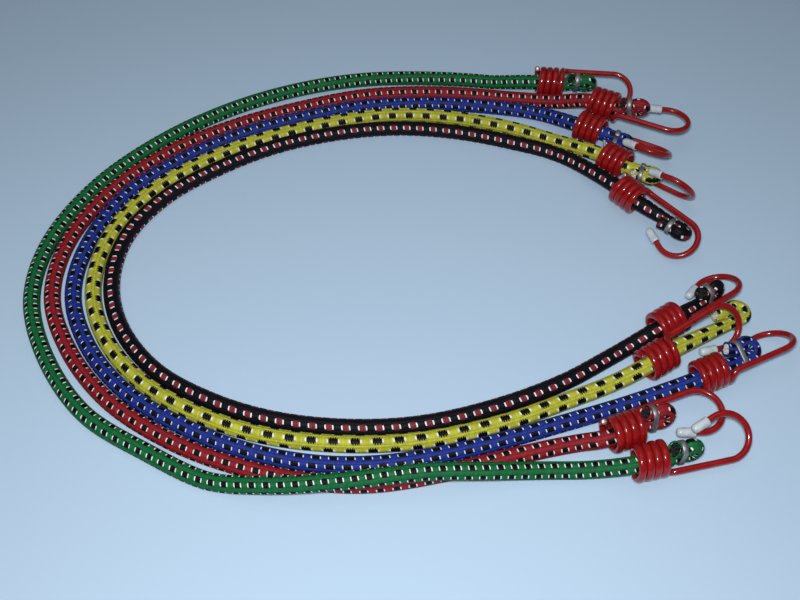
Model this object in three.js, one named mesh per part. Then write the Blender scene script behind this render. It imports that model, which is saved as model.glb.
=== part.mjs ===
// A set of five elastic cords with coated wire hooks, lying nested on a flat surface.
// Millimetres, +Z up, +X to the open side of the nest. Each cord is a braided sheath round a rubber core.
// At both ends the cord runs through a hook's coil, folds back on itself and is pinched by a clip.

import * as THREE from 'three';

// Cord
const CORD_DIAMETER = 8;
const SHEATH_WALL = 0.9;
const CORE_CLEARANCE = 0.6;
const FLAT_DEPTH = 0.8;
const FOLD_GAP = 0.6;
const FOLD_GIRTH = 0.82;
const PINCH_GIRTH = 0.72;
const PINCH_GAP = 0.4;
const CORD_SIDES = 8;
const BORE_SIDES = 5;
const STEPS_PER_POINT = 2;
const FOLD_STEPS = 5;

// Hook wire
const WIRE_DIAMETER = 3.1;
const WIRE_SIDES = 5;
const COIL_PLAY = 1.3;
const COIL_TURNS = 4;
const COIL_PITCH = 3.6;
const TURN_STEPS = 8;
const SEAT_CLEARANCE = 0.5;
const FLOOR_CLEARANCE = 0.2;
const ELBOW_RADIUS = 4;
const ELBOW_STEPS = 3;
const ARM_LENGTH = 25;
const BEND_RADIUS = 10.2;
const BEND_ANGLE = 200;
const BEND_STEPS = 9;
const LEG_LENGTH = 3.5;

// Tip cap
const TIP_LENGTH = 8.5;
const TIP_WALL = 0.4;
const TIP_CLEARANCE = 0.4;
const TIP_SIDES = 8;

// Clip
const CLIP_WIDTH = 2.4;
const CLIP_THICKNESS = 0.7;
const CLIP_CLEARANCE = 0.5;
const CLIP_SLIT = 1.2;
const CLIP_ARC_STEPS = 5;

// Worked out from the sizes above
const CORD_RADIUS = CORD_DIAMETER / 2;
const BORE_RADIUS = CORD_RADIUS - SHEATH_WALL;
const CORD_REST = CORD_RADIUS - FLAT_DEPTH;
const FOLD_RADIUS = CORD_RADIUS * FOLD_GIRTH + FOLD_GAP / 2;
const FOLD_REACH = FOLD_RADIUS + CORD_RADIUS * FOLD_GIRTH;
const PINCH_RADIUS = CORD_RADIUS * PINCH_GIRTH;
const PINCH_SPACING = 2 * PINCH_RADIUS + PINCH_GAP;
const PINCH_HALF = CLIP_WIDTH / 2 + PINCH_GAP;
const TAIL_SPACING = CORD_RADIUS * (1 + FOLD_GIRTH) + PINCH_GAP;
const WIRE_RADIUS = WIRE_DIAMETER / 2;
const COIL_RADIUS = CORD_RADIUS + COIL_PLAY + WIRE_RADIUS;
const COIL_HALF = COIL_TURNS * COIL_PITCH / 2;
const COIL_REST = COIL_RADIUS + WIRE_RADIUS + FLOOR_CLEARANCE;
const CORD_SAG = COIL_PLAY - SEAT_CLEARANCE;
const LEAD_IN = COIL_HALF + WIRE_RADIUS;
const TIP_BORE = WIRE_RADIUS + TIP_CLEARANCE;
const TIP_RADIUS = TIP_BORE + TIP_WALL;
const TIP_GRIP = TIP_LENGTH - TIP_RADIUS - TIP_CLEARANCE;

// The lower hooks of the yellow and blue cords lie interlaced, so the bend's size sets their spacing.
const YELLOW_LOWER_COIL = [118.6, -68.7];
const BLUE_LOWER_COIL = [
  YELLOW_LOWER_COIL[0] + 2.314 * BEND_RADIUS,
  YELLOW_LOWER_COIL[1] - 0.755 * BEND_RADIUS,
];

// A route lists the cord's middle line between its two coils as [x, y, height above its rest].
// An end gives its coil's middle, the heading and pitch of its axis, and the coil's lift off the surface.
// Angles round the axis count from the left of the outward heading, 90 being up: arm is the side that the
// hook's arm leaves on and fold the side that the tail lies on. Beyond the coil the doubled cord turns
// aside by swing and drops by dip. clip and end count from the coil's outer face, and tail from the clip.
const CORDS = [
  {
    name: 'green',
    colour: 0x14784a,
    route: [
      [52, 130.8, 0], [20, 133.8, 0], [-20, 132.8, 0], [-58, 124.3, 0], [-95, 107.8, 0], [-131, 81.8, 0],
      [-161, 47.8, 0], [-178.5, 8.8, 0], [-180.5, -27.2, 0], [-168, -61.2, 0], [-143, -94.7, 0],
      [-111, -115.2, 0], [-84, -128.7, 0],
      [-57.1, -133.5, 4.8], [-24.1, -133.3, 8.2], [12, -129.1, 8.4], [38.1, -127.1, 5.4], [64, -124.2, 0.6],
      [82, -124, 0.8],
    ],
    upper: {
      coil: [85.3, 124.8], heading: -5, pitch: 0, lift: 0, arm: 27, swing: 0, dip: 3,
      clip: 8, end: 19.4, fold: 115, tail: 4,
    },
    lower: {
      coil: [108.2, -122], heading: 13, pitch: 0, lift: 0, arm: 211, swing: 0, dip: 3,
      clip: 6, end: 16.4, fold: 92, tail: 4,
    },
  },
  {
    name: 'red',
    colour: 0xc03c41,
    route: [
      [88, 111.4, 2.5], [60, 117, 0], [20, 121.1, 0], [-20, 118.8, 0], [-57, 108.3, 0], [-92.2, 93.9, 0],
      [-126, 73, 0], [-153, 43.8, 0], [-169, 8.8, 0], [-170.5, -27.2, 0], [-157.3, -58.4, 0],
      [-133.4, -87.7, 0], [-103.1, -108.4, 0], [-76.2, -120, 0], [-45, -128.3, 0], [-14, -130.5, 0],
      [19.9, -124.9, 0], [54, -115.8, 0], [78, -110.6, 0.5],
    ],
    upper: {
      coil: [113.8, 100.6], heading: -25, pitch: 0, lift: 4.6, arm: 170, swing: 13, dip: -8,
      clip: 7, end: 18, fold: 112, tail: 4,
    },
    lower: {
      coil: [98.4, -107.3], heading: 21, pitch: 2, lift: 0, arm: 6, swing: -6, dip: 3,
      clip: 6.4, end: 17.4, fold: 78, tail: 4,
    },
  },
  {
    name: 'blue',
    colour: 0x283cb0,
    route: [
      [79, 103.2, 0.4], [54, 109, 0], [20, 111.8, 0], [-20.1, 109.7, 0], [-55.6, 99.9, 0], [-88.3, 86.4, 0],
      [-117.5, 67.8, 0], [-144.4, 41, 0], [-159.2, 5, 0], [-160.3, -27.2, 0], [-147.9, -57.1, 0],
      [-125.9, -83.1, 0], [-98, -101.2, 0], [-71.8, -112.7, 0], [-39.9, -120.1, 0], [-8, -120.5, 0],
      [34.1, -112.1, 0], [72, -100.3, 0], [104, -89.8, 0.3],
    ],
    upper: {
      coil: [104.3, 86.9], heading: -27, pitch: 0, lift: 0, arm: -35, swing: 5, dip: 1,
      clip: 9, end: 19.4, fold: 184, tail: 5,
    },
    lower: {
      coil: BLUE_LOWER_COIL, heading: 25, pitch: 1.4, lift: 0, arm: 145, swing: 0, dip: 2,
      clip: 10.4, end: 22, fold: 24, tail: 5,
    },
  },
  {
    name: 'yellow',
    colour: 0xc8c832,
    route: [
      [86, 80.8, 0.6], [62, 91.8, 0], [30, 100.2, 0], [-4, 102.6, 0], [-39.5, 95.9, 0], [-74, 83.8, 0],
      [-105.2, 66.3, 0], [-131.9, 42.7, 0], [-148.5, 12.2, 0], [-151.2, -23.2, 0], [-140.8, -52, 0],
      [-120.2, -76.9, 0], [-91.9, -94.8, 0], [-61, -106, 0], [-24, -110.6, 0], [9.9, -108.7, 0],
      [45.9, -99.8, 0], [77, -87.6, 0], [98, -78.8, 0.6],
    ],
    upper: {
      coil: [115, 61.5], heading: -36, pitch: 0, lift: 0, arm: -62, swing: 17, dip: -3,
      clip: 9, end: 20, fold: 162, tail: 4,
    },
    lower: {
      coil: YELLOW_LOWER_COIL, heading: 31, pitch: 7, lift: 0.4, arm: 48, swing: -0.5, dip: 6.5,
      clip: 41, end: 53, fold: 4, tail: 6,
    },
  },
  {
    name: 'black',
    colour: 0x14161c,
    route: [
      [88, 69.8, 0.2], [60, 81.2, 0], [28, 89.4, 0], [-4, 91.8, 0], [-37.9, 87.1, 0], [-69.4, 76.8, 0],
      [-97.8, 60.6, 0], [-124, 38.7, 0], [-140.1, 11.2, 0], [-142.7, -19.2, 0], [-134, -46.2, 0],
      [-114, -71.1, 0], [-86, -88.1, 0], [-56, -98.2, 0], [-22, -102.2, 0], [10, -100.2, 0],
      [44, -91.2, 0], [76, -77.6, 0], [104, -60.6, 0.4],
    ],
    upper: {
      coil: [119.2, 36.8], heading: -49, pitch: 0, lift: 0, arm: 25, swing: 9, dip: 4,
      clip: 22, end: 33, fold: 150, tail: 6,
    },
    lower: {
      coil: [126.9, -47.5], heading: 34, pitch: 0, lift: 0, arm: 152, swing: 0, dip: 0,
      clip: 17.5, end: 28, fold: 84, tail: 4,
    },
  },
];

const UP = new THREE.Vector3(0, 0, 1);
const rad = THREE.MathUtils.degToRad;

// A swept path that knows its stations: a point, a heading, a girth and two cross directions at each.
// Between its from and to stations the section keeps its x side towards under; beyond them it is carried.
class Track extends THREE.Curve {
  constructor(points, headings, girths, under, from, to) {
    super();
    this.points = points;
    this.headings = headings;
    this.normals = headings.map((heading) => {
      return under.clone().addScaledVector(heading, -under.dot(heading)).normalize();
    });
    for (let i = to + 1; i < points.length; i++) this.carry(i - 1, i);
    for (let i = from - 1; i >= 0; i--) this.carry(i + 1, i);
    this.binormals = points.map((_, i) => new THREE.Vector3().crossVectors(headings[i], this.normals[i]));
    girths.forEach((girth, i) => {
      this.normals[i].multiplyScalar(girth);
      this.binormals[i].multiplyScalar(girth);
    });
  }

  carry(from, to) {
    const turn = new THREE.Quaternion().setFromUnitVectors(this.headings[from], this.headings[to]);
    this.normals[to] = this.normals[from].clone().applyQuaternion(turn);
  }

  getSpacedPoints() {
    return this.points;
  }

  computeFrenetFrames() {
    return { tangents: this.headings, normals: this.normals, binormals: this.binormals };
  }
}

function polygon(radius, sides, start = 0) {
  return Array.from({ length: sides }, (_, i) => {
    const angle = start + 2 * Math.PI * i / sides;
    return new THREE.Vector2(radius * Math.cos(angle), radius * Math.sin(angle));
  });
}

// The cord's outline: a faceted round whose underside is flat, where it lies on the surface.
function cordOutline() {
  const half = Math.acos(CORD_REST / CORD_RADIUS);
  const step = (2 * Math.PI - 2 * half) / (CORD_SIDES - 1);
  return Array.from({ length: CORD_SIDES }, (_, i) => {
    const angle = half + step * i;
    return new THREE.Vector2(CORD_RADIUS * Math.cos(angle), CORD_RADIUS * Math.sin(angle));
  });
}

function sweep(shape, track) {
  return new THREE.ExtrudeGeometry(shape, { steps: track.points.length - 1, extrudePath: track });
}

// An end's coil, the cord's line through it, and the directions and places of the doubled cord beyond it.
function endFrame(end) {
  const turn = new THREE.Euler(0, -rad(end.pitch), rad(end.heading), 'ZYX');
  const bend = new THREE.Euler(0, rad(end.dip), rad(end.heading + end.swing), 'ZYX');
  const axis = new THREE.Vector3(1, 0, 0).applyEuler(turn);
  const up = new THREE.Vector3(0, 0, 1).applyEuler(turn);
  const coil = new THREE.Vector3(end.coil[0], end.coil[1], COIL_REST + end.lift);
  const cord = coil.clone().addScaledVector(up, -CORD_SAG);
  const along = (distance) => cord.clone().addScaledVector(axis, distance);
  const out = new THREE.Vector3(1, 0, 0).applyEuler(bend);
  const left = new THREE.Vector3(0, 1, 0).applyEuler(bend);
  const over = new THREE.Vector3(0, 0, 1).applyEuler(bend);
  const aside = left.multiplyScalar(Math.cos(rad(end.fold))).addScaledVector(over, Math.sin(rad(end.fold)));
  const beyond = (distance, offset) => {
    return along(LEAD_IN).addScaledVector(out, distance - LEAD_IN).addScaledVector(aside, offset);
  };
  return { coil, along, out, aside, beyond };
}

// Stops through the coil and the clip to the start of the fold, from the inside out, with the girth at each.
function endStops(end) {
  const { along, beyond } = endFrame(end);
  const clip = COIL_HALF + end.clip;
  const fold = COIL_HALF + end.end - FOLD_REACH;
  return [
    [along(-LEAD_IN), 1], [along(LEAD_IN), 1], [beyond(clip - PINCH_HALF, 0), PINCH_GIRTH],
    [beyond(clip + PINCH_HALF, 0), PINCH_GIRTH], [beyond(fold, 0), FOLD_GIRTH],
  ];
}

// The U-turn and the tail after it, from the fold's start back through the clip to the cut end.
function foldStations(end) {
  const { out, aside, beyond } = endFrame(end);
  const clip = COIL_HALF + end.clip;
  const fold = COIL_HALF + end.end - FOLD_REACH;
  const stations = [];
  for (let i = 1; i <= FOLD_STEPS; i++) {
    const angle = Math.PI * i / FOLD_STEPS;
    const point = beyond(fold + FOLD_RADIUS * Math.sin(angle), FOLD_RADIUS * (1 - Math.cos(angle)));
    const heading = out.clone().multiplyScalar(Math.cos(angle)).addScaledVector(aside, Math.sin(angle));
    stations.push({ point, heading, girth: FOLD_GIRTH });
  }
  const back = out.clone().negate();
  stations.push({ point: beyond(clip + PINCH_HALF, PINCH_SPACING), heading: back, girth: PINCH_GIRTH });
  stations.push({ point: beyond(clip - PINCH_HALF, PINCH_SPACING), heading: back, girth: PINCH_GIRTH });
  stations.push({ point: beyond(clip - end.tail, TAIL_SPACING), heading: back, girth: FOLD_GIRTH });
  return stations;
}

// The whole middle line of a cord, from the upper cut end to the lower one.
function cordTrack(cord) {
  const resting = cord.route.map(([x, y, height]) => [new THREE.Vector3(x, y, CORD_REST + height), 1]);
  const stops = [...endStops(cord.upper).reverse(), ...resting, ...endStops(cord.lower)];
  const curve = new THREE.CatmullRomCurve3(stops.map(([point]) => point));
  const steps = STEPS_PER_POINT * (stops.length - 1);
  const middle = curve.getPoints(steps).map((point, i) => {
    const before = stops[Math.floor(i / STEPS_PER_POINT)][1];
    const after = stops[Math.ceil(i / STEPS_PER_POINT)][1];
    const share = i % STEPS_PER_POINT / STEPS_PER_POINT;
    point.z = Math.max(point.z, CORD_REST);
    return { point, heading: curve.getTangent(i / steps), girth: THREE.MathUtils.lerp(before, after, share) };
  });
  const upper = foldStations(cord.upper).reverse();
  upper.forEach((station) => {
    station.heading = station.heading.clone().negate();
  });
  const stations = [...upper, ...middle, ...foldStations(cord.lower)];
  return new Track(
    stations.map(({ point }) => point),
    stations.map(({ heading }) => heading),
    stations.map(({ girth }) => girth),
    UP.clone().negate(),
    upper.length,
    upper.length + steps,
  );
}

// The hook's wire along +X from its coil, its arm on the +Y side: coil, elbow, arm, bend and free leg.
function hookPoints() {
  const points = [];
  const onCoil = (along, angle) => {
    points.push(new THREE.Vector3(along, COIL_RADIUS * Math.cos(angle), COIL_RADIUS * Math.sin(angle)));
  };
  const elbow = ELBOW_RADIUS / COIL_RADIUS;
  const coilSteps = COIL_TURNS * TURN_STEPS;
  for (let i = 0; i <= coilSteps; i++) {
    const left = 1 - i / coilSteps;
    onCoil(COIL_HALF * (1 - 2 * left), elbow + 2 * Math.PI * COIL_TURNS * left);
  }
  for (let i = 1; i <= ELBOW_STEPS; i++) {
    const angle = Math.PI / 2 * i / ELBOW_STEPS;
    onCoil(COIL_HALF + ELBOW_RADIUS * (1 - Math.cos(angle)), elbow * (1 - Math.sin(angle)));
  }
  const reach = COIL_HALF + ELBOW_RADIUS + ARM_LENGTH;
  for (let i = 0; i <= BEND_STEPS; i++) {
    const angle = rad(BEND_ANGLE) * i / BEND_STEPS;
    const along = reach + BEND_RADIUS * Math.sin(angle);
    points.push(new THREE.Vector3(along, COIL_RADIUS - BEND_RADIUS * (1 - Math.cos(angle)), 0));
  }
  points.push(legEnd().addScaledVector(legHeading(), TIP_GRIP));
  return points;
}

function legHeading() {
  return new THREE.Vector3(Math.cos(rad(BEND_ANGLE)), -Math.sin(rad(BEND_ANGLE)), 0);
}

// Where the cap's open rim sits on the free leg.
function legEnd() {
  const reach = COIL_HALF + ELBOW_RADIUS + ARM_LENGTH;
  const along = reach + BEND_RADIUS * Math.sin(rad(BEND_ANGLE));
  const across = COIL_RADIUS - BEND_RADIUS * (1 - Math.cos(rad(BEND_ANGLE)));
  return new THREE.Vector3(along, across, 0).addScaledVector(legHeading(), LEG_LENGTH);
}

function hookGeometry() {
  const points = hookPoints();
  const headings = points.map((_, i) => {
    const before = points[Math.max(i - 1, 0)];
    const after = points[Math.min(i + 1, points.length - 1)];
    return after.clone().sub(before).normalize();
  });
  headings[headings.length - 1] = legHeading();
  const girths = points.map(() => 1);
  const track = new Track(points, headings, girths, new THREE.Vector3(1, 0, 0), 0, 0);
  return sweep(new THREE.Shape(polygon(WIRE_RADIUS, WIRE_SIDES)), track);
}

// A cup with a domed end, its rim at the origin and its bore towards +Y.
function tipGeometry() {
  const profile = [
    [TIP_BORE, 0], [TIP_RADIUS, 0], [TIP_RADIUS, TIP_LENGTH - TIP_RADIUS],
    [TIP_RADIUS * 0.75, TIP_LENGTH - TIP_RADIUS * 0.34], [0, TIP_LENGTH],
    [0, TIP_GRIP + TIP_CLEARANCE], [TIP_BORE, TIP_GRIP + TIP_CLEARANCE], [TIP_BORE, 0],
  ].map(([radius, along]) => new THREE.Vector2(radius, along));
  return new THREE.LatheGeometry(profile, TIP_SIDES);
}

// A flat strip bent round both strands, its two ends meeting under the middle.
function clipGeometry() {
  const inner = PINCH_RADIUS + CLIP_CLEARANCE;
  const outer = inner + CLIP_THICKNESS;
  const line = (radius) => {
    const points = [new THREE.Vector2(CLIP_SLIT / 2, -radius)];
    for (const side of [1, -1]) {
      for (let i = 0; i <= CLIP_ARC_STEPS; i++) {
        const angle = Math.PI * (i / CLIP_ARC_STEPS - 0.5);
        const x = PINCH_SPACING / 2 + radius * Math.cos(angle);
        points.push(new THREE.Vector2(side * x, side * radius * Math.sin(angle)));
      }
    }
    points.push(new THREE.Vector2(-CLIP_SLIT / 2, -radius));
    return points;
  };
  const strip = new THREE.Shape([...line(outer), ...line(inner).reverse()]);
  const geometry = new THREE.ExtrudeGeometry(strip, { depth: CLIP_WIDTH, bevelEnabled: false });
  return geometry.translate(0, 0, -CLIP_WIDTH / 2);
}

// The least distance between the surfaces of two turns of the coil, on points along the wire.
function coilGap() {
  const samples = 40;
  const point = (turn) => {
    const angle = 2 * Math.PI * turn;
    return new THREE.Vector3(COIL_PITCH * turn, COIL_RADIUS * Math.cos(angle), COIL_RADIUS * Math.sin(angle));
  };
  let least = Infinity;
  for (let i = 0; i <= samples; i++) {
    for (let j = 0; j <= samples; j++) {
      const distance = point(i / samples).distanceTo(point(1 + (j - samples / 2) / samples));
      if (Math.abs(1 + (j - samples / 2) / samples - i / samples) > 0.5) least = Math.min(least, distance);
    }
  }
  return least - WIRE_DIAMETER;
}

function material(color, roughness, metalness = 0) {
  return new THREE.MeshStandardMaterial({ color, roughness, metalness });
}

const sheathShape = new THREE.Shape(cordOutline());
sheathShape.holes.push(new THREE.Path(polygon(BORE_RADIUS, BORE_SIDES)));
const coreShape = new THREE.Shape(polygon(BORE_RADIUS - CORE_CLEARANCE, BORE_SIDES));
const hookShape = hookGeometry();
const tipShape = tipGeometry();
const clipShape = clipGeometry();

const set = new THREE.Group();
set.name = 'elastic_cord_set';

for (const cord of CORDS) {
  const track = cordTrack(cord);
  const sheath = new THREE.Mesh(sweep(sheathShape, track), material(cord.colour, 0.75));
  sheath.name = `${cord.name}_sheath`;
  const core = new THREE.Mesh(sweep(coreShape, track), material(0xd8cfc0, 0.8));
  core.name = `${cord.name}_core`;
  set.add(sheath, core);

  for (const side of ['upper', 'lower']) {
    const end = cord[side];
    const { coil, out, aside, beyond } = endFrame(end);
    const holder = new THREE.Group();
    holder.position.copy(coil);
    holder.rotation.set(rad(end.arm), -rad(end.pitch), rad(end.heading), 'ZYX');
    const hook = new THREE.Mesh(hookShape, material(0xa01e1e, 0.3));
    hook.name = `${cord.name}_hook_${side}`;
    const tip = new THREE.Mesh(tipShape, material(0xd2dce4, 0.35));
    tip.name = `${cord.name}_tip_${side}`;
    tip.position.copy(legEnd());
    tip.quaternion.setFromUnitVectors(new THREE.Vector3(0, 1, 0), legHeading());
    holder.add(hook, tip);

    const clip = new THREE.Mesh(clipShape, material(0x82878c, 0.4, 0.9));
    clip.name = `${cord.name}_clip_${side}`;
    clip.position.copy(beyond(COIL_HALF + end.clip, PINCH_SPACING / 2));
    clip.setRotationFromMatrix(
      new THREE.Matrix4().makeBasis(aside, new THREE.Vector3().crossVectors(out, aside), out),
    );
    set.add(holder, clip);
  }
}

console.log(`least gap between turns of a coil: ${coilGap().toFixed(2)} mm`);

export default set;
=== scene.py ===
import math

import bpy
import numpy as np
from mathutils import Matrix, Vector


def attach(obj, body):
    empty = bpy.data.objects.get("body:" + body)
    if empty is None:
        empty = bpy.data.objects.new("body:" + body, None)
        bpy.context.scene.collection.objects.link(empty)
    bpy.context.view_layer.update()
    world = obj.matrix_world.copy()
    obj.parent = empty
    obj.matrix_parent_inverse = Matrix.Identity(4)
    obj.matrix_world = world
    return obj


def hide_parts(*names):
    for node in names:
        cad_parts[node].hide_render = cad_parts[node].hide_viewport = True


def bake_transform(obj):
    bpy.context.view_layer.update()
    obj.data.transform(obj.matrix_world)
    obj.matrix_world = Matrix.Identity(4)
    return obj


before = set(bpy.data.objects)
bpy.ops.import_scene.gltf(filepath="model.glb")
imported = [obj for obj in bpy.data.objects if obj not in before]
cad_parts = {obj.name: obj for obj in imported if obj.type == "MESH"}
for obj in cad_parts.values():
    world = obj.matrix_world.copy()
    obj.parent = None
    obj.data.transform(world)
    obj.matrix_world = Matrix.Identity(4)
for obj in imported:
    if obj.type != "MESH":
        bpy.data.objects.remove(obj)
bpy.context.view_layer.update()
scene = bpy.context.scene

# Camera: held in front of the open table and a little over half a metre away, looking down
# on the nest of cords from its lower side.
camera = bpy.data.objects.new("camera", bpy.data.cameras.new("camera"))
camera.data.sensor_width = 36
camera.data.lens = 48.6
camera.location = (0, -0.3547, 0.4192)
aim = Vector((0, -0.0272, 0))
camera.rotation_euler = (aim - camera.location).to_track_quat("-Z", "Y").to_euler()
scene.collection.objects.link(camera)
scene.camera = camera
scene.view_settings.view_transform = "Standard"

# Lie of the cords: each elastic cord rests on the table from its upper coil round the left to its lower
# one. route is its middle line as x, y and height above rest, and the two ends give the hook's coil and
# how the cord is doubled back and clipped beyond it. Metres and degrees.

# arm and fold are sides round the coil's axis, counted from the left of its outward heading with 90 as up:
# where the hook's arm leaves, and where the tail lies. Beyond the coil the doubled cord turns by swing and
# drops by dip. clip and end count from the coil's outer turn, tail from the clip, and pulled is the end that
# is drawn out when the cord stretches.
cord_lies = {
    "green": {
        "route": [
            (0.052, 0.1308, 0), (0.02, 0.1338, 0), (-0.02, 0.1328, 0), (-0.058, 0.1243, 0),
            (-0.095, 0.1078, 0), (-0.131, 0.0818, 0), (-0.161, 0.0478, 0), (-0.1785, 0.0088, 0),
            (-0.1805, -0.0272, 0), (-0.168, -0.0612, 0), (-0.143, -0.0947, 0), (-0.111, -0.1152, 0),
            (-0.084, -0.1287, 0), (-0.0571, -0.1335, 0.0048), (-0.0241, -0.1333, 0.0082),
            (0.012, -0.1291, 0.0084), (0.0381, -0.1271, 0.0054), (0.064, -0.1242, 0.0006),
            (0.082, -0.124, 0.0008),
        ],
        "upper": dict(coil=(0.0853, 0.1248), heading=-5, pitch=0, lift=0, arm=27, swing=0, dip=3,
                      clip=0.008, end=0.0194, fold=115, tail=0.004),
        "lower": dict(coil=(0.1082, -0.122), heading=13, pitch=0, lift=0, arm=211, swing=0, dip=3,
                      clip=0.006, end=0.0164, fold=92, tail=0.004),
        "pulled": "lower",
    },
    "red": {
        "route": [
            (0.088, 0.1114, 0.0025), (0.06, 0.117, 0), (0.02, 0.1211, 0), (-0.02, 0.1188, 0),
            (-0.057, 0.1083, 0), (-0.0922, 0.0939, 0), (-0.126, 0.073, 0), (-0.153, 0.0438, 0),
            (-0.169, 0.0088, 0), (-0.1705, -0.0272, 0), (-0.1573, -0.0584, 0), (-0.1334, -0.0877, 0),
            (-0.1031, -0.1084, 0), (-0.0762, -0.12, 0), (-0.045, -0.1283, 0), (-0.014, -0.1305, 0),
            (0.0199, -0.1249, 0), (0.054, -0.1158, 0), (0.078, -0.1106, 0.0005),
        ],
        "upper": dict(coil=(0.1138, 0.1006), heading=-25, pitch=0, lift=0.0046, arm=170, swing=13, dip=-8,
                      clip=0.007, end=0.018, fold=112, tail=0.004),
        "lower": dict(coil=(0.0984, -0.1073), heading=21, pitch=2, lift=0, arm=6, swing=-6, dip=3,
                      clip=0.0064, end=0.0174, fold=78, tail=0.004),
        "pulled": "upper",
    },
    "blue": {
        "route": [
            (0.079, 0.1032, 0.0004), (0.054, 0.109, 0), (0.02, 0.1118, 0), (-0.0201, 0.1097, 0),
            (-0.0556, 0.0999, 0), (-0.0883, 0.0864, 0), (-0.1175, 0.0678, 0), (-0.1444, 0.041, 0),
            (-0.1592, 0.005, 0), (-0.1603, -0.0272, 0), (-0.1479, -0.0571, 0), (-0.1259, -0.0831, 0),
            (-0.098, -0.1012, 0), (-0.0718, -0.1127, 0), (-0.0399, -0.1201, 0), (-0.008, -0.1205, 0),
            (0.0341, -0.1121, 0), (0.072, -0.1003, 0), (0.104, -0.0898, 0.0003),
        ],
        "upper": dict(coil=(0.1043, 0.0869), heading=-27, pitch=0, lift=0, arm=-35, swing=5, dip=1,
                      clip=0.009, end=0.0194, fold=184, tail=0.005),
        "lower": dict(coil=(0.1422, -0.0764), heading=25, pitch=1.4, lift=0, arm=145, swing=0, dip=2,
                      clip=0.0104, end=0.022, fold=24, tail=0.005),
        "pulled": "lower",
    },
    "yellow": {
        "route": [
            (0.086, 0.0808, 0.0006), (0.062, 0.0918, 0), (0.03, 0.1002, 0), (-0.004, 0.1026, 0),
            (-0.0395, 0.0959, 0), (-0.074, 0.0838, 0), (-0.1052, 0.0663, 0), (-0.1319, 0.0427, 0),
            (-0.1485, 0.0122, 0), (-0.1512, -0.0232, 0), (-0.1408, -0.052, 0), (-0.1202, -0.0769, 0),
            (-0.0919, -0.0948, 0), (-0.061, -0.106, 0), (-0.024, -0.1106, 0), (0.0099, -0.1087, 0),
            (0.0459, -0.0998, 0), (0.077, -0.0876, 0), (0.098, -0.0788, 0.0006),
        ],
        "upper": dict(coil=(0.115, 0.0615), heading=-36, pitch=0, lift=0, arm=-62, swing=17, dip=-3,
                      clip=0.009, end=0.02, fold=162, tail=0.004),
        "lower": dict(coil=(0.1186, -0.0687), heading=31, pitch=7, lift=0.0004, arm=48, swing=-0.5, dip=6.5,
                      clip=0.041, end=0.053, fold=4, tail=0.006),
        "pulled": "upper",
    },
    "black": {
        "route": [
            (0.088, 0.0698, 0.0002), (0.06, 0.0812, 0), (0.028, 0.0894, 0), (-0.004, 0.0918, 0),
            (-0.0379, 0.0871, 0), (-0.0694, 0.0768, 0), (-0.0978, 0.0606, 0), (-0.124, 0.0387, 0),
            (-0.1401, 0.0112, 0), (-0.1427, -0.0192, 0), (-0.134, -0.0462, 0), (-0.114, -0.0711, 0),
            (-0.086, -0.0881, 0), (-0.056, -0.0982, 0), (-0.022, -0.1022, 0), (0.01, -0.1002, 0),
            (0.044, -0.0912, 0), (0.076, -0.0776, 0), (0.104, -0.0606, 0.0004),
        ],
        "upper": dict(coil=(0.1192, 0.0368), heading=-49, pitch=0, lift=0, arm=25, swing=9, dip=4,
                      clip=0.022, end=0.033, fold=150, tail=0.006),
        "lower": dict(coil=(0.1269, -0.0475), heading=34, pitch=0, lift=0, arm=152, swing=0, dip=0,
                      clip=0.0175, end=0.028, fold=84, tail=0.004),
        "pulled": "lower",
    },
}
# the cord lies a little flattened, and its strands are thinner where they are folded or pinched
cord_radius = 0.004
cord_rest = 0.8 * cord_radius
fold_girth = 0.82
fold_gap = 0.0006
fold_radius = cord_radius * fold_girth + fold_gap / 2
fold_reach = fold_radius + cord_radius * fold_girth
pinch_girth = 0.72
pinch_gap = 0.0004
pinch_spacing = 2 * cord_radius * pinch_girth + pinch_gap
tail_spacing = cord_radius * (1 + fold_girth) + pinch_gap
clip_width = 0.0024
pinch_half = clip_width / 2 + pinch_gap
# the hook's coil is wound with play round the cord, which lies low in it
wire_radius = 0.00155
coil_play = 0.0013
seat_clearance = 0.0005
floor_clearance = 0.0002
coil_turns = 4
coil_pitch = 0.0036
coil_radius = cord_radius + coil_play + wire_radius
coil_half = coil_turns * coil_pitch / 2
coil_rest = coil_radius + wire_radius + floor_clearance
cord_sag = coil_play - seat_clearance
lead_in = coil_half + wire_radius
# the woven cloth swells out a little from the folded and the pinched strand
fold_swell = 0.85
pinch_swell = 0.77


def coil_lie(end):
    """The coil's middle, the cord's line through it, and the doubled stretch beyond it."""
    heading = math.radians(end["heading"])
    swung = heading + math.radians(end["swing"])
    turn = Matrix.Rotation(heading, 3, "Z") @ Matrix.Rotation(-math.radians(end["pitch"]), 3, "Y")
    bend = Matrix.Rotation(swung, 3, "Z") @ Matrix.Rotation(math.radians(end["dip"]), 3, "Y")
    fold = math.radians(end["fold"])
    coil = Vector((*end["coil"], coil_rest + end["lift"]))
    cord = coil - turn @ Vector((0, 0, cord_sag))
    out = bend @ Vector((1, 0, 0))
    aside = bend @ Vector((0, math.cos(fold), math.sin(fold)))
    lead = cord + turn @ Vector((lead_in, 0, 0))

    def beyond(distance, offset):
        return lead + out * (distance - lead_in) + aside * offset

    return {
        "coil": coil, "turn": turn, "cord": cord, "out": out, "aside": aside, "beyond": beyond,
        "clip": coil_half + end["clip"], "fold": coil_half + end["end"] - fold_reach,
    }


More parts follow.
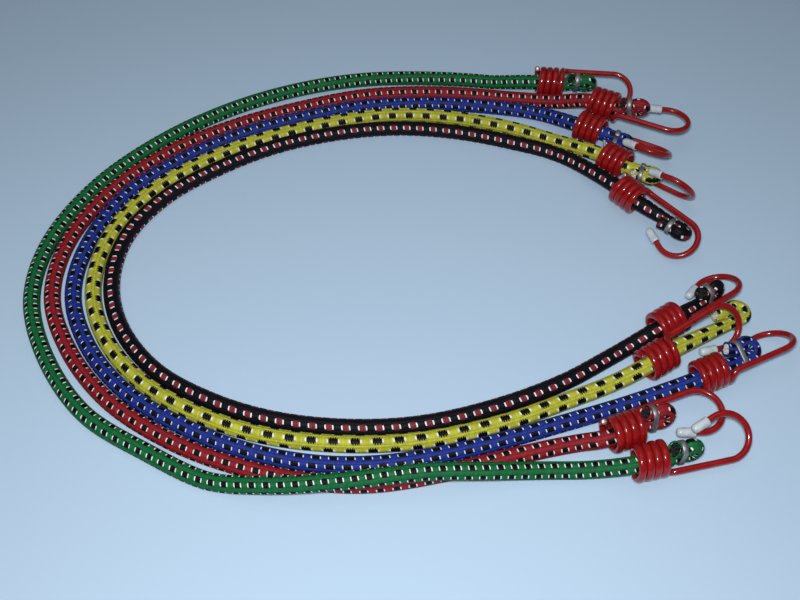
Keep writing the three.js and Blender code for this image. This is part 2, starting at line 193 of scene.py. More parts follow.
def strand_stops(end):
    """Stops of the long strand through the coil and the clip to the start of the fold, with its girth."""
    lie = coil_lie(end)
    axis = lie["turn"] @ Vector((lead_in, 0, 0))
    return [
        (lie["cord"] - axis, 1),
        (lie["cord"] + axis, 1),
        (lie["beyond"](lie["clip"] - pinch_half, 0), pinch_swell),
        (lie["beyond"](lie["clip"] + pinch_half, 0), pinch_swell),
        (lie["beyond"](lie["fold"], 0), fold_swell),
    ]


def folded_tail(end):
    """Points of the U-turn beyond the clip and of the short tail back through it, to the cut end."""
    lie = coil_lie(end)
    clip = lie["clip"]
    points = []
    fold_steps = 14
    for step in range(1, fold_steps + 1):
        angle = math.pi * step / fold_steps
        reach = lie["fold"] + fold_radius * math.sin(angle)
        offset = fold_radius * (1 - math.cos(angle))
        points.append((lie["beyond"](reach, offset), fold_swell + 0.03 * math.sin(angle)))
    # on both sides of the pinch the tail has swollen part of the way out again
    shoulder = pinch_half + 0.0012
    for place, offset, girth in (
        (clip + shoulder, 0.0065, 0.81),
        (clip + pinch_half, pinch_spacing, pinch_swell),
        (clip, pinch_spacing, pinch_swell),
        (clip - pinch_half, pinch_spacing, pinch_swell),
        (clip - shoulder, 0.0067, 0.83),
        (clip - end["tail"], tail_spacing, 0.88),
    ):
        points.append((lie["beyond"](place, offset), girth))
    return points


def laid_line(stops):
    """A smooth line through the stops, never under the height of a cord at rest."""
    step_length = 0.0024
    points = [np.array(point) for point, _ in stops]
    girths = [girth for _, girth in stops]
    before = [2 * points[0] - points[1]] + points[:-1]
    after = points[2:] + [2 * points[-1] - points[-2]]
    line = []
    for i in range(len(points) - 1):
        ends = (before[i], points[i], points[i + 1], after[i])
        gaps = [math.sqrt(np.linalg.norm(b - a)) for a, b in zip(ends, ends[1:])]
        chords = [(b - a) / gap for a, b, gap in zip(ends, ends[1:], gaps)]
        leave = chords[0] - (ends[2] - ends[0]) / (gaps[0] + gaps[1]) + chords[1]
        arrive = chords[1] - (ends[3] - ends[1]) / (gaps[1] + gaps[2]) + chords[2]
        leave, arrive = leave * gaps[1], arrive * gaps[1]
        steps = max(3, round(np.linalg.norm(ends[2] - ends[1]) / step_length))
        for t in np.arange(steps) / steps:
            drop = 3 * (ends[2] - ends[1]) - 2 * leave - arrive
            curl = 2 * (ends[1] - ends[2]) + leave + arrive
            point = ends[1] + leave * t + drop * t * t + curl * t ** 3
            point[2] = max(point[2], cord_rest)
            smooth = t * t * (3 - 2 * t)
            line.append((Vector(point), girths[i] * (1 - smooth) + girths[i + 1] * smooth))
    line.append((Vector(points[-1]), girths[-1]))
    return line


# Braided sheaths: a tight textile tube of polyester yarn over rubber threads. Its slanted stitches run
# in rows along it, and every other row is a lane of tracer yarns: a block of the contrast colour between two
# white stitches, then the body colour. Only the clips hold the sheath, and the lanes turn as it lies.
braid = bpy.data.node_groups.new("tracer_braid", "ShaderNodeTree")
for name in ("Along", "Around", "Lanes", "Lane Width", "Stitches", "Half Block", "White", "Dot", "Ragged"):
    braid.interface.new_socket(name, in_out="INPUT", socket_type="NodeSocketFloat")
for name in ("Block", "White", "Height", "Yarn"):
    braid.interface.new_socket(name, in_out="OUTPUT", socket_type="NodeSocketFloat")
braid_in = braid.nodes.new("NodeGroupInput")
braid_out = braid.nodes.new("NodeGroupOutput")


def braid_sum(operation, *values):
    """A math node in the braid's group, fed by sockets and numbers."""
    node = braid.nodes.new("ShaderNodeMath")
    node.operation = operation
    for socket, value in zip(node.inputs, values):
        if isinstance(value, (int, float)):
            socket.default_value = value
        else:
            braid.links.new(value, socket)
    return node.outputs[0]


# a lane takes its share of the pitch round the cord and the plain row beside it takes the rest
lane_width = braid_in.outputs["Lane Width"]
half_lane = braid_sum("MULTIPLY", lane_width, 0.5)
pitches = braid_sum("MULTIPLY_ADD", braid_in.outputs["Around"], braid_in.outputs["Lanes"], half_lane)
lane = braid_sum("FLOOR", pitches)
in_pitch = braid_sum("FRACT", pitches)
plain = braid_sum("GREATER_THAN", in_pitch, lane_width)
tracer = braid_sum("SUBTRACT", 1, plain)
row_start = braid_sum("MULTIPLY", plain, lane_width)
row_width = braid_sum("MULTIPLY_ADD", plain, braid_sum("MULTIPLY_ADD", lane_width, -2, 1), lane_width)
in_row = braid_sum("DIVIDE", braid_sum("SUBTRACT", in_pitch, row_start), row_width)
across = braid_sum("MULTIPLY_ADD", in_row, 2, -1)
# stitches slant one way in a lane and the other way in a plain row, by this share of a stitch
row_slant = 0.18
slant = braid_sum("MULTIPLY", across, braid_sum("MULTIPLY_ADD", plain, 2 * row_slant, -row_slant))
# the pattern steps on by one lane's share of its length from each lane to the next
stepped = braid_sum("ADD", braid_in.outputs["Along"], braid_sum("DIVIDE", lane, braid_in.outputs["Lanes"]))
stitches = braid_sum("MULTIPLY_ADD", stepped, braid_in.outputs["Stitches"], slant)
in_stitch = braid_sum("MULTIPLY_ADD", braid_sum("FRACT", stitches), 2, -1)
place = braid_sum("FRACT", braid_sum("DIVIDE", stitches, braid_in.outputs["Stitches"]))
# a block is rounded off toward the edges of its lane, and its edges are ragged where its stitches end
corner_round = 0.03
rounded = braid_sum("MULTIPLY", braid_sum("MULTIPLY", across, across), corner_round)
from_block = braid_sum("ADD", braid_sum("ABSOLUTE", braid_sum("SUBTRACT", place, 0.5)), rounded)
reach = braid_sum("ABSOLUTE", across)
stitch_end = braid_sum("MULTIPLY", in_stitch, in_stitch)
ragged_edge = braid_sum("SUBTRACT", 1, braid_sum("MULTIPLY", stitch_end, braid_in.outputs["Ragged"]))
half_block = braid_in.outputs["Half Block"]
in_block = braid_sum("LESS_THAN", from_block, half_block)
white_edge = braid_sum("ADD", half_block, braid_in.outputs["White"])
in_white = braid_sum("LESS_THAN", from_block, white_edge)
block = braid_sum("MULTIPLY", in_block, braid_sum("LESS_THAN", reach, ragged_edge))
in_dot = braid_sum("LESS_THAN", reach, braid_in.outputs["Dot"])
white = braid_sum("MULTIPLY", braid_sum("SUBTRACT", in_white, in_block), in_dot)
# each row is crowned, with its edges kept just above nothing, and each stitch dips at its two ends; this
# height drives the bump and the painted shade in the grooves
stitch_dip = 0.4
crown_top = 1.001
crown = braid_sum("SQRT", braid_sum("SUBTRACT", crown_top, braid_sum("MULTIPLY", across, across)))
height = braid_sum("MULTIPLY", crown, braid_sum("MULTIPLY_ADD", stitch_end, -stitch_dip, 1))
yarn = braid.nodes.new("ShaderNodeTexWhiteNoise")
yarn.noise_dimensions = "2D"
pair = braid.nodes.new("ShaderNodeCombineXYZ")
braid.links.new(braid_sum("FLOOR", stitches), pair.inputs[0])
braid.links.new(braid_sum("MULTIPLY_ADD", lane, 2, plain), pair.inputs[1])
braid.links.new(pair.outputs[0], yarn.inputs["Vector"])
braid.links.new(braid_sum("MULTIPLY", block, tracer), braid_out.inputs["Block"])
braid.links.new(braid_sum("MULTIPLY", white, tracer), braid_out.inputs["White"])
braid.links.new(height, braid_out.inputs["Height"])
braid.links.new(yarn.outputs["Value"], braid_out.inputs["Yarn"])

# half_block and white are shares of the period, dot is how much of the lane's width a white stitch takes,
# and lane_turns gives one lane's lean from the top, outward, at shares of the way along the route
braids = {
    "green": dict(
        body=(0.007, 0.130, 0.038), block=(0.002, 0.003, 0.003), lanes=5, lane_width=0.56, period=0.0062,
        stitches=6, half_block=0.205, white=0.080, dot=0.64, ragged=0.10,
        lane_turns=[(0, -50), (0.2, -90), (0.45, -120), (0.6, -100), (0.8, -115), (1, -150)],
    ),
    "red": dict(
        body=(0.255, 0.013, 0.020), block=(0.003, 0.002, 0.002), lanes=5, lane_width=0.56, period=0.0069,
        stitches=8, half_block=0.205, white=0.075, dot=0.64, ragged=0.15,
        lane_turns=[(0, -20), (0.1, -35), (0.45, -50), (0.6, -40), (0.8, -50), (1, -85)],
    ),
    "blue": dict(
        body=(0.013, 0.033, 0.250), block=(0.002, 0.002, 0.008), lanes=6, lane_width=0.60, period=0.0076,
        stitches=8, half_block=0.235, white=0.060, dot=0.60, ragged=0.10,
        lane_turns=[(0, -30), (0.1, 0), (0.2, -25), (0.4, -20), (0.55, 25), (0.75, 45), (1, 45)],
    ),
    "yellow": dict(
        body=(0.460, 0.475, 0.042), block=(0.002, 0.002, 0.002), lanes=5, lane_width=0.76, period=0.0097,
        stitches=9, half_block=0.220, white=0.080, dot=0.42, ragged=0.50,
        lane_turns=[(0, -40), (0.25, -60), (0.55, -50), (0.75, -55), (1, -80)],
    ),
    "black": dict(
        body=(0.003, 0.003, 0.006), block=(0.185, 0.020, 0.032), lanes=4, lane_width=0.50, period=0.0074,
        stitches=6, half_block=0.190, white=0.085, dot=0.64, ragged=0.10,
        lane_turns=[(0, -50), (0.3, -35), (0.5, 0), (0.7, 35), (1, 30)],
    ),
}
white_yarn = (0.80, 0.82, 0.82, 1)
sheath_sides = 40
# each lane and each plain row stands up as a low rib, by this share of the radius
rib_height = 0.010
# the cloth is pressed flat where it would go lower than this
floor_skin = 0.00005
# at a cut end the sheath turns in: the share of its radius, the yarn used up and how deep the ring is set
mouth = [(0.94, 0.0004, -0.0001), (0.80, 0.0012, 0.0002), (0.74, 0.0030, 0.0008)]


def headings_along(points):
    """The direction of a line at each of its points."""
    last = len(points) - 1
    return [(points[min(i + 1, last)] - points[max(i - 1, 0)]).normalized() for i in range(last + 1)]


def ring_faces(rings, sides, first=0):
    """Faces between rings of vertices that follow each other from the vertex first."""
    faces = []
    for ring in range(rings - 1):
        near = first + ring * sides
        far = near + sides
        for k in range(sides):
            after = (k + 1) % sides
            faces.append((near + k, near + after, far + after, far + k))
    return faces


def smooth_piece(name, vertices, faces, *materials):
    """A smooth piece in the scene, made of these faces and materials."""
    mesh = bpy.data.meshes.new(name)
    mesh.from_pydata(vertices, [], faces)
    mesh.shade_smooth()
    for material in materials:
        mesh.materials.append(material)
    piece = bpy.data.objects.new(name, mesh)
    scene.collection.objects.link(piece)
    return piece


def set_values(node, values):
    """Sets a node's inputs, given by name."""
    for name, value in values.items():
        node.inputs[name].default_value = value


def new_material(name, values):
    """A new material whose shader has these values."""
    material = bpy.data.materials.new(name)
    material.use_nodes = True
    set_values(material.node_tree.nodes["Principled BSDF"], values)
    return material


cord_points = {}
for colour, lie in cord_lies.items():
    look = braids[colour]
    route = [Vector((x, y, cord_rest + z)) for x, y, z in lie["route"]]
    stops = strand_stops(lie["upper"])[::-1] + [(point, 1) for point in route] + strand_stops(lie["lower"])
    middle = laid_line(stops)
    head = folded_tail(lie["upper"])[::-1]
    line = head + middle + folded_tail(lie["lower"])
    points = [point for point, _ in line]
    cord_points[colour] = points
    count = len(points)
    headings = headings_along(points)
    tops = [(Vector((0, 0, 1)) - heading * heading.z).normalized() for heading in headings]
    for i in range(len(head) - 1, -1, -1):
        tops[i] = headings[i + 1].rotation_difference(headings[i]) @ tops[i + 1]
    for i in range(len(head) + len(middle), count):
        tops[i] = headings[i - 1].rotation_difference(headings[i]) @ tops[i - 1]
    runs = [0.0]
    for a, b in zip(points, points[1:]):
        runs.append(runs[-1] + (b - a).length)
    first = min(range(count), key=lambda i: (points[i] - route[0]).length)
    last = min(range(count), key=lambda i: (points[i] - route[-1]).length)
    shares = [(run - runs[first]) / (runs[last] - runs[first]) for run in runs]
    turned = np.interp(shares, *zip(*look["lane_turns"])) / 360
    # each ring is a station along the line, a share of its radius, its distance along the yarns and its slip
    rings = [(0, share, -used, deep) for share, used, deep in reversed(mouth)]
    rings += [(i, 1.0, runs[i], 0.0) for i in range(count)]
    rings += [(count - 1, share, runs[-1] + used, -deep) for share, used, deep in mouth]
    vertices = []
    for i, share, run, slip in rings:
        aside = headings[i].cross(tops[i])
        for k in range(sheath_sides):
            angle = 2 * math.pi * k / sheath_sides
            rib = 1 + rib_height * math.cos(4 * math.pi * look["lanes"] * (k / sheath_sides - turned[i]))
            spoke = tops[i] * math.cos(angle) + aside * math.sin(angle)
            vertex = points[i] + headings[i] * slip + spoke * (cord_radius * line[i][1] * share * rib)
            vertex.z = max(vertex.z, floor_skin)
            vertices.append(vertex)

    cloth = new_material(f"{colour}_braid", {"Roughness": 0.6, "Specular IOR Level": 0.14})
    nodes, links = cloth.node_tree.nodes, cloth.node_tree.links
    shader = nodes["Principled BSDF"]
    yarns = nodes.new("ShaderNodeUVMap")
    yarns.uv_map = "braid"
    split = nodes.new("ShaderNodeSeparateXYZ")
    links.new(yarns.outputs[0], split.inputs[0])
    weave = nodes.new("ShaderNodeGroup")
    weave.node_tree = braid
    for name in ("lanes", "lane_width", "stitches", "half_block", "white", "dot", "ragged"):
        weave.inputs[name.replace("_", " ").title()].default_value = look[name]
    links.new(split.outputs[0], weave.inputs["Along"])
    links.new(split.outputs[1], weave.inputs["Around"])
    blocks = nodes.new("ShaderNodeMix")
    blocks.data_type = "RGBA"
    set_values(blocks, {"A": (*look["body"], 1), "B": (*look["block"], 1)})
    links.new(weave.outputs["Block"], blocks.inputs["Factor"])
    whites = nodes.new("ShaderNodeMix")
    whites.data_type = "RGBA"
    set_values(whites, {"B": white_yarn})
    links.new(blocks.outputs["Result"], whites.inputs["A"])
    links.new(weave.outputs["White"], whites.inputs["Factor"])
    # painted shade darkens the colour in the grooves between the yarns, and no two stitches are quite of one
    # tone
    painted_groove_shade = nodes.new("ShaderNodeMapRange")
    set_values(painted_groove_shade, {"To Min": 0.6, "To Max": 1.0})
    links.new(weave.outputs["Height"], painted_groove_shade.inputs["Value"])
    tone = nodes.new("ShaderNodeMapRange")
    set_values(tone, {"To Min": 0.84, "To Max": 1.10})
    links.new(weave.outputs["Yarn"], tone.inputs["Value"])
    shade_and_tone = nodes.new("ShaderNodeMath")
    shade_and_tone.operation = "MULTIPLY"
    links.new(painted_groove_shade.outputs[0], shade_and_tone.inputs[0])
    links.new(tone.outputs[0], shade_and_tone.inputs[1])
    shade = nodes.new("ShaderNodeVectorMath")
    shade.operation = "SCALE"
    links.new(whites.outputs["Result"], shade.inputs[0])
    links.new(shade_and_tone.outputs[0], shade.inputs["Scale"])
    links.new(shade.outputs[0], shader.inputs["Base Color"])
    bump = nodes.new("ShaderNodeBump")
    set_values(bump, {"Strength": 0.45, "Distance": 0.0004})
    links.new(weave.outputs["Height"], bump.inputs["Height"])
    links.new(bump.outputs[0], shader.inputs["Normal"])

    # the pulled half and the half that stays meet at the bend on the left, and only the half that stays goes
    # with all the cords
    left_bend = min(range(count), key=lambda i: points[i].x)
    join = left_bend + len(mouth)
    for side, start, stop in (("upper", 0, join), ("lower", join, len(rings) - 1)):
        half_vertices = vertices[start * sheath_sides:(stop + 1) * sheath_sides]
        half_faces = ring_faces(stop - start + 1, sheath_sides)
        half = smooth_piece(f"{colour}_braid_{side}", half_vertices, half_faces, cloth)
        mapped = half.data.uv_layers.new(name="braid")
        for face in half.data.polygons:
            j, k = divmod(face.index, sheath_sides)
            corners = ((j, k), (j, k + 1), (j + 1, k + 1), (j + 1, k))
            for loop, (ring, turn) in zip(face.loop_indices, corners):
                i, _, run, _ = rings[start + ring]
                mapped.data[loop].uv = (run / look["period"], turn / sheath_sides - turned[i])
        if lie["pulled"] == side:
            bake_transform(half)
        else:
            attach(half, "cords")
        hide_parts(f"{colour}_sheath", f"{colour}_core")

# Hooks: spring-steel wire dipped in glossy red plastic. Four close turns sit round the cord, an elbow
# turns the wire outward along it as an arm, and a round crook brings it back to a short free leg.
# The coil can turn on the cord but can't leave it, because the clipped fold is wider than the coil's bore.
elbow_radius = 0.004
elbow_turn = elbow_radius / coil_radius
elbow_end = coil_half + elbow_radius
arm_length = 0.025
crook_start = elbow_end + arm_length
crook_radius = 0.0102
crook_turn = math.radians(200)
leg_length = 0.0035
leg_in_cap = 0.00575
coil_steps = 32 * coil_turns
elbow_steps = 10
arm_steps = 7
crook_steps = 44


def on_coil(along, angle):
    """A point of the wire on the coil's round, with the coil's axis along x."""
    return Vector((along, coil_radius * math.cos(angle), coil_radius * math.sin(angle)))


wire_line = []
for step in range(coil_steps + 1):
    left = 1 - step / coil_steps
    wire_line.append(on_coil(coil_half * (1 - 2 * left), elbow_turn + 2 * math.pi * coil_turns * left))
for step in range(1, elbow_steps + 1):
    angle = math.pi / 2 * step / elbow_steps
    along = coil_half + elbow_radius * (1 - math.cos(angle))
    wire_line.append(on_coil(along, elbow_turn * (1 - math.sin(angle))))
for step in range(1, arm_steps):
    wire_line.append(on_coil(elbow_end + arm_length * step / arm_steps, 0))
for step in range(crook_steps + 1):
    angle = crook_turn * step / crook_steps
    along = crook_start + crook_radius * math.sin(angle)
    wire_line.append(Vector((along, coil_radius - crook_radius * (1 - math.cos(angle)), 0)))
leg = Vector((math.cos(crook_turn), -math.sin(crook_turn), 0))
cap_rim = wire_line[-1] + leg * leg_length
wire_line += [cap_rim, cap_rim + leg * leg_in_cap]
wire_headings = headings_along(wire_line)
wire_sides = [(Vector((1, 0, 0)) - wire_headings[0] * wire_headings[0].x).normalized()]
for before, after in zip(wire_headings, wire_headings[1:]):
    wire_sides.append(before.rotation_difference(after) @ wire_sides[-1])

# the coated wire is a hair slimmer than its solid, so that hooks at the ends of their turns stay clear;
# each ring is a station along the wire, a share of its radius and how far it stands back from the station
coat_radius = 0.00150
shear_length = 0.00035
hook_sides = 16
hook_rings = [(0, 0.0, shear_length), (0, 0.80, shear_length)]
hook_rings += [(i, 1.0, 0.0) for i in range(len(wire_line))]
hook_rings += [(-1, 0.7, 0.0), (-1, 0.0, 0.0)]
# the dip runs together between the turns of the coil, which fills their shoulders and narrows the grooves
shoulder_fill = 0.4
groove_fill = 0.17
fill_steps = 12
hook_vertices = []
for i, share, back in hook_rings:
    pooled = min(1, max(0, i) / fill_steps, max(0, coil_steps - i) / fill_steps)
    for k in range(hook_sides):
        angle = 2 * math.pi * k / hook_sides
        spoke = wire_sides[i] * math.cos(angle) + wire_headings[i].cross(wire_sides[i]) * math.sin(angle)
        spoke *= 1 + shoulder_fill * pooled * spoke.x ** 2 * (1 - spoke.x ** 2)
        spoke.x *= 1 + groove_fill * pooled
        hook_vertices.append(wire_line[i] - wire_headings[i] * back + spoke * (coat_radius * share))
hook_faces = ring_faces(len(hook_rings), hook_sides)


def hook_stand(end):
    """The place of a hook: on its coil's axis, turned so that its arm leaves where arm says."""
    ends = coil_lie(end)
    arm = Matrix.Rotation(math.radians(end["arm"]), 4, "X")
    return Matrix.Translation(ends["coil"]) @ ends["turn"].to_4x4() @ arm


# a mottled surface, for the plastics and metals: clouds between two tones, with a relief of the same clouds
mottle = bpy.data.node_groups.new("mottle", "ShaderNodeTree")
mottle.interface.new_socket("Vector", in_out="INPUT", socket_type="NodeSocketVector")
for name in ("Scale", "Detail", "Dark At", "Light At", "Relief", "Depth"):
    mottle.interface.new_socket(name, in_out="INPUT", socket_type="NodeSocketFloat")
for name in ("Dark", "Light"):
    mottle.interface.new_socket(name, in_out="INPUT", socket_type="NodeSocketColor")
for name, kind in (("Colour", "Color"), ("Clouds", "Float"), ("Normal", "Vector")):
    mottle.interface.new_socket(name, in_out="OUTPUT", socket_type=f"NodeSocket{kind}")
mottle_in = mottle.nodes.new("NodeGroupInput")
mottle_out = mottle.nodes.new("NodeGroupOutput")
clouds = mottle.nodes.new("ShaderNodeTexNoise")
spread = mottle.nodes.new("ShaderNodeMapRange")
tones = mottle.nodes.new("ShaderNodeMix")
tones.data_type = "RGBA"
relief = mottle.nodes.new("ShaderNodeBump")
for source, target in (
    (mottle_in.outputs["Vector"], clouds.inputs["Vector"]),
    (mottle_in.outputs["Scale"], clouds.inputs["Scale"]),
    (mottle_in.outputs["Detail"], clouds.inputs["Detail"]),
    (clouds.outputs["Fac"], spread.inputs["Value"]),
    (mottle_in.outputs["Dark At"], spread.inputs["From Min"]),
    (mottle_in.outputs["Light At"], spread.inputs["From Max"]),
    (spread.outputs[0], tones.inputs["Factor"]),
    (mottle_in.outputs["Dark"], tones.inputs["A"]),
    (mottle_in.outputs["Light"], tones.inputs["B"]),
    (clouds.outputs["Fac"], relief.inputs["Height"]),
    (mottle_in.outputs["Relief"], relief.inputs["Strength"]),
    (mottle_in.outputs["Depth"], relief.inputs["Distance"]),
    (tones.outputs["Result"], mottle_out.inputs["Colour"]),
    (clouds.outputs["Fac"], mottle_out.inputs["Clouds"]),
    (relief.outputs[0], mottle_out.inputs["Normal"]),
):
    mottle.links.new(source, target)


def mottled(material, where, values):
    """Gives a material the mottled surface, laid over these coordinates, and returns its node."""
    nodes, links = material.node_tree.nodes, material.node_tree.links
    shader = nodes["Principled BSDF"]
    surface = nodes.new("ShaderNodeGroup")
    surface.node_tree = mottle
    set_values(surface, values)
    links.new(where, surface.inputs["Vector"])
    links.new(surface.outputs["Colour"], shader.inputs["Base Color"])
    if values["Relief"]:
        links.new(surface.outputs["Normal"], shader.inputs["Normal"])
    return surface


def uneven_gloss(material, surface, glossy, dull):
    """Lets a material's roughness follow the clouds of its mottled surface."""
    nodes, links = material.node_tree.nodes, material.node_tree.links
    gloss = nodes.new("ShaderNodeMapRange")
    set_values(gloss, {"To Min": glossy, "To Max": dull})
    links.new(surface.outputs["Clouds"], gloss.inputs["Value"])
    links.new(gloss.outputs[0], nodes["Principled BSDF"].inputs["Roughness"])


dip = new_material("dipped_wire", {"Specular IOR Level": 0.25, "Coat Weight": 0.5, "Coat Roughness": 0.05})
where = dip.node_tree.nodes.new("ShaderNodeTexCoord")
pools = mottled(dip, where.outputs["Object"], {
    "Scale": 260, "Detail": 3, "Dark At": 0.3, "Light At": 0.7, "Relief": 0.12, "Depth": 0.0003,
    "Dark": (0.21, 0.004, 0.005, 1), "Light": (0.275, 0.007, 0.008, 1),
})
uneven_gloss(dip, pools, 0.16, 0.28)
bare = new_material("sheared_wire", {"Metallic": 0.8, "Roughness": 0.45})
where = bare.node_tree.nodes.new("ShaderNodeTexCoord")
mottled(bare, where.outputs["Object"], {
    "Scale": 900, "Detail": 2, "Dark At": 0, "Light At": 1, "Relief": 0, "Depth": 0,
    "Dark": (0.30, 0.26, 0.26, 1), "Light": (0.62, 0.56, 0.56, 1),
})

for colour, lie in cord_lies.items():
    for side in ("upper", "lower"):
        wire = smooth_piece(f"{colour}_wire_{side}", hook_vertices, hook_faces, dip, bare)
        wire.data.transform(hook_stand(lie[side]))
        # the first ring of faces is the sheared end of the wire
        for face in wire.data.polygons[:hook_sides]:
            face.material_index = 1
        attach(wire, f"{colour}_{side}_hook")
        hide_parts(f"{colour}_hook_{side}")

# Tip caps: milky soft vinyl cups pushed on the free legs so that the wire's end doesn't scratch. Each has
# a rolled rim, a thin wall that lets some light through, and a domed closed end.
cap_sides = 24
# radius and distance from the rim, from the rim's inner edge to the middle of the dome
cap_profile = [
    (0.00162, 0.0006), (0.00168, 0.0001), (0.00190, -0.0001), (0.00219, 0.0001), (0.00226, 0.0006),
    (0.00221, 0.0012), (0.00217, 0.0030), (0.00217, 0.0058), (0.00209, 0.0068), (0.00182, 0.0077),
    (0.00130, 0.0082), (0.0007, 0.0084), (0.0, 0.0084),
]
upright = Vector((0, 0, 1))
cap_vertices = []
for radius, along in cap_profile:
    for k in range(cap_sides):
        angle = 2 * math.pi * k / cap_sides
        spoke = upright * math.cos(angle) + leg.cross(upright) * math.sin(angle)
        cap_vertices.append(cap_rim + leg * along + spoke * radius)
cap_faces = ring_faces(len(cap_profile), cap_sides)

vinyl = new_material("milky_vinyl", {
    "Roughness": 0.34, "Subsurface Weight": 0.35, "Subsurface Radius": (0.002, 0.002, 0.002),
    "Transmission Weight": 0.15,
})
where = vinyl.node_tree.nodes.new("ShaderNodeTexCoord")
mottled(vinyl, where.outputs["Object"], {
    "Scale": 420, "Detail": 2, "Dark At": 0.35, "Light At": 0.65, "Relief": 0.15, "Depth": 0.0002,
    "Dark": (0.50, 0.57, 0.62, 1), "Light": (0.62, 0.69, 0.73, 1),
})

for colour, lie in cord_lies.items():
    for side in ("upper", "lower"):
        cap = smooth_piece(f"{colour}_cap_{side}", cap_vertices, cap_faces, vinyl)
        cap.data.transform(hook_stand(lie[side]))
        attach(cap, f"{colour}_{side}_hook")
        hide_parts(f"{colour}_tip_{side}")

# Clips: narrow bands of galvanised steel strip, bent round the cord's two strands and crimped shut, so the
# fold can't pull back through the coil. The strip's ends stop a little short of each other at the middle.
slit_half = 0.0006
arc_steps = 16
# the band is a hair tighter than its solid, for the same reason as the wire, and its rounds are a little flat
band_radius = 0.0036
band_squeeze = 0.00008
band_line = [Vector((slit_half, -band_radius, 0))]
for way in (1, -1):
    for step in range(arc_steps + 1):
        angle = math.pi * (step / arc_steps - 0.5)
        waist = band_radius - band_squeeze * math.cos(angle)
        reach = pinch_spacing / 2 + waist * math.cos(angle)
        band_line.append(Vector((way * reach, way * band_radius * math.sin(angle), 0)))
band_line.append(Vector((-slit_half, -band_radius, 0)))
# the strip's section, with its edges eased
half_width = clip_width / 2
half_thick = 0.00035
eased = 0.00015
band_section = [
    (eased - half_width, -half_thick), (half_width - eased, -half_thick),
    (half_width, eased - half_thick), (half_width, half_thick - eased),
    (half_width - eased, half_thick), (eased - half_width, half_thick),
    (-half_width, half_thick - eased), (-half_width, eased - half_thick),
]
band_sides = len(band_section)
band_vertices = []
for point, heading in zip(band_line, headings_along(band_line)):
    outward = heading.cross(Vector((0, 0, 1)))
    for width, thick in band_section:
        band_vertices.append(point + Vector((0, 0, width)) + outward * thick)
band_faces = [face[::-1] for face in ring_faces(len(band_line), band_sides)]
last_ring = range(len(band_vertices) - band_sides, len(band_vertices))
band_faces += [tuple(range(band_sides)), tuple(reversed(last_ring))]

strip = new_material("galvanised_strip", {"Metallic": 0.75})
where = strip.node_tree.nodes.new("ShaderNodeUVMap")
where.uv_map = "strip"
drawn = strip.node_tree.nodes.new("ShaderNodeMapping")
set_values(drawn, {"Scale": (5, 9, 1)})
strip.node_tree.links.new(where.outputs[0], drawn.inputs["Vector"])
grain = mottled(strip, drawn.outputs[0], {
    "Scale": 1, "Detail": 4, "Dark At": 0.3, "Light At": 0.7, "Relief": 0.2, "Depth": 0.0001,
    "Dark": (0.20, 0.21, 0.22, 1), "Light": (0.36, 0.37, 0.385, 1),
})
uneven_gloss(strip, grain, 0.38, 0.58)


def end_body(colour, side):
    """The body that carries an end of a cord: its own where it is pulled, or else that of all the cords."""
    return f"{colour}_{side}_end" if cord_lies[colour]["pulled"] == side else "cords"


for colour, lie in cord_lies.items():
    for side in ("upper", "lower"):
        ends = coil_lie(lie[side])
        out, aside = ends["out"], ends["aside"]
        stand = Matrix((aside, out.cross(aside), out)).transposed().to_4x4()
        stand.translation = ends["beyond"](ends["clip"], pinch_spacing / 2)
        band = smooth_piece(f"{colour}_band_{side}", band_vertices, band_faces, strip)
        band.data.transform(stand)
        mapped = band.data.uv_layers.new(name="strip")
        for loop in band.data.loops:
            station, corner = divmod(loop.vertex_index, band_sides)
            over = band_section[corner][0] / clip_width + 0.5
            mapped.data[loop.index].uv = (station / len(band_line), over)
        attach(band, end_body(colour, side))
        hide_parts(f"{colour}_clip_{side}")

# Cut ends: where the tail stops behind its clip the rubber threads of the core show, packed in the mouth of
# the sheath. They are sheared unevenly; blue and yellow have pale latex threads, and the others dark ones.
thread_sides = 8
shear_depth = 0.00025
thread_spacing = 0.00098
ring_twist = 0.07
# the threads lie in rings round the middle one, each ring given by its number and its threads
thread_rings = ((0, 1), (1, 6), (2, 12))
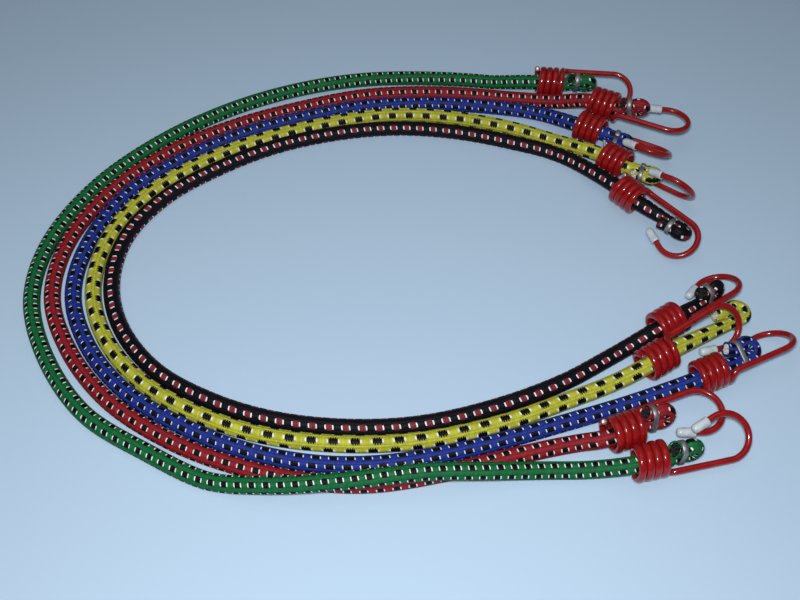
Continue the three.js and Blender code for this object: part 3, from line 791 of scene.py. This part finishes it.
# radius and place along the thread, from inside the sheath to the rounded cut
thread_profile = ((0.00050, -0.0012), (0.00050, -0.0001), (0.00040, 0.0002), (0.00018, 0.0003))
pale_latex = ((0.42, 0.40, 0.36, 1), (0.70, 0.69, 0.65, 1))
dark_latex = ((0.005, 0.006, 0.007, 1), (0.022, 0.024, 0.025, 1))
for colour in cord_lies:
    rubber = new_material(f"{colour}_threads", {"Roughness": 0.8, "Specular IOR Level": 0.15})
    nodes, links = rubber.node_tree.nodes, rubber.node_tree.links
    thread_tone = nodes.new("ShaderNodeAttribute")
    thread_tone.attribute_name = "thread"
    latex = nodes.new("ShaderNodeValToRGB")
    tints = pale_latex if colour in ("blue", "yellow") else dark_latex
    for stop, tint in zip(latex.color_ramp.elements, tints):
        stop.color = tint
    links.new(thread_tone.outputs["Fac"], latex.inputs[0])
    links.new(latex.outputs[0], nodes["Principled BSDF"].inputs["Base Color"])
    points = cord_points[colour]
    for side, tail, inner in (("upper", 0, 1), ("lower", -1, -2)):
        outward = (points[tail] - points[inner]).normalized()
        across = outward.orthogonal().normalized()
        over = outward.cross(across)
        vertices, faces, tones = [], [], []
        for ring, amount in thread_rings:
            for n in range(amount):
                turn = 2 * math.pi * (n / amount + ring_twist * ring)
                aside = across * math.cos(turn) + over * math.sin(turn)
                middle = points[tail] + aside * (thread_spacing * ring)
                # unrelated sines give each thread a cut and a tone of its own
                uneven = (math.sin(12.9 * n + 7.3 * ring) + math.cos(5.1 * n + 2.7 * ring)) / 2
                first = len(vertices)
                for radius, along in thread_profile:
                    for k in range(thread_sides):
                        angle = 2 * math.pi * k / thread_sides
                        spoke = across * math.cos(angle) + over * math.sin(angle)
                        vertices.append(middle + spoke * radius + outward * (along + shear_depth * uneven))
                        tones.append(0.5 + 0.5 * math.sin(3.7 * n + 1.9 * ring))
                faces += ring_faces(len(thread_profile), thread_sides, first)
                faces.append(tuple(range(len(vertices) - thread_sides, len(vertices))))
        bundle = smooth_piece(f"{colour}_threads_{side}", vertices, faces, rubber)
        bundle.data.attributes.new("thread", "FLOAT", "POINT").data.foreach_set("value", tones)
        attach(bundle, end_body(colour, side))

# Floor and light: a plain pale blue table top, lit by a softbox over the camera and a broad soft lamp
# overhead. The daylight round them is faint.
table_half = 6
corners = [(x * table_half, y * table_half, 0) for x, y in ((-1, -1), (1, -1), (1, 1), (-1, 1))]
ground = bpy.data.meshes.new("table")
ground.from_pydata(corners, [], [(0, 1, 2, 3)])
table = bpy.data.objects.new("table", ground)
scene.collection.objects.link(table)
ground.materials.append(new_material("table", {"Base Color": (0.43, 0.58, 0.745, 1), "Roughness": 0.7}))
world = bpy.data.worlds.new("daylight")
scene.world = world
world.use_nodes = True
set_values(world.node_tree.nodes["Background"], {"Color": (0.92, 0.96, 1.0, 1), "Strength": 0.08})
for name, place, size, power in (
    ("softbox", (-0.02, -0.37, 0.50), 0.06, 3.45),
    ("overhead", (0.1, 0.1, 1.2), 0.9, 1.2),
):
    light = bpy.data.objects.new(name, bpy.data.lights.new(name, "AREA"))
    light.data.size = size
    light.data.energy = power
    light.location = place
    light.rotation_euler = (Vector((0, 0, 0)) - light.location).to_track_quat("-Z", "Y").to_euler()
    scene.collection.objects.link(light)
